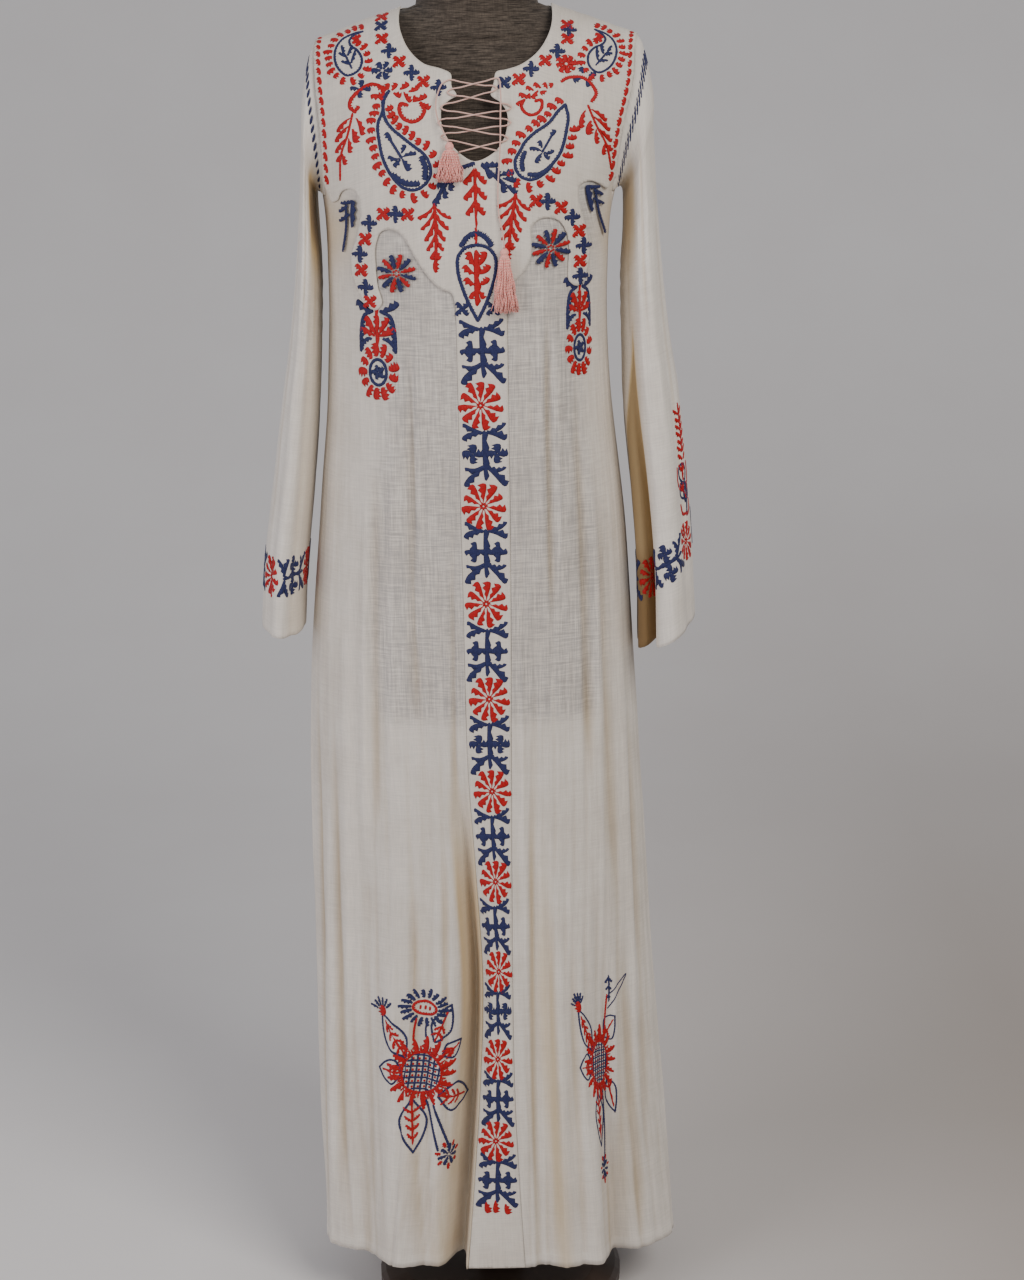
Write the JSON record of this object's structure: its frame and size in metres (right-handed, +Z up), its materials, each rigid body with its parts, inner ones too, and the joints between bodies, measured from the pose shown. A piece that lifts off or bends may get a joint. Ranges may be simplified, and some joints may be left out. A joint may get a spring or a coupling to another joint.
{
  "type": "kaftan maxi dress on a dress form",
  "caption": "Ankle-length loose gauze kaftan with a scalloped front yoke, laced keyhole neck and long wide sleeves, worn by a limbless dress form on a round base.",
  "frame": {"origin": "on the floor under the middle of the form's round base", "axes": "+Z up along the pole, -Y the front of the dress, +X the right of a viewer in front of it"},
  "size_m": [0.496, 0.3, 1.6223],
  "materials": {
    "gauze": "thin off-white crinkled cotton gauze, slightly sheer",
    "yoke_cloth": "opaque off-white cotton, embroidered",
    "placket_cloth": "opaque off-white cotton band, embroidered",
    "sleeve_gauze": "thin off-white crinkled cotton gauze",
    "lace_cord": "pale pink twisted cotton cord",
    "tassel_yarn": "pink cotton yarn",
    "form_linen": "dark brown slubbed linen cover",
    "form_wood": "dark stained satin",
    "form_metal": "dark satin paint"
  },
  "bodies": {
    "root": {"back_panel": "gauze", "form_base": "form_metal", "form_neck_cap": "form_wood", "form_pole": "form_metal", "form_torso": "form_linen", "front_panel_left": "gauze", "front_panel_right": "gauze", "front_yoke": "yoke_cloth", "gusset_left": "sleeve_gauze", "gusset_right": "sleeve_gauze", "lace_left": "lace_cord", "lace_right": "lace_cord", "placket_band": "placket_cloth", "sleeve_left": "sleeve_gauze", "sleeve_right": "sleeve_gauze", "tassel_left": "tassel_yarn", "tassel_right": "tassel_yarn"}
  },
  "joints": []
}
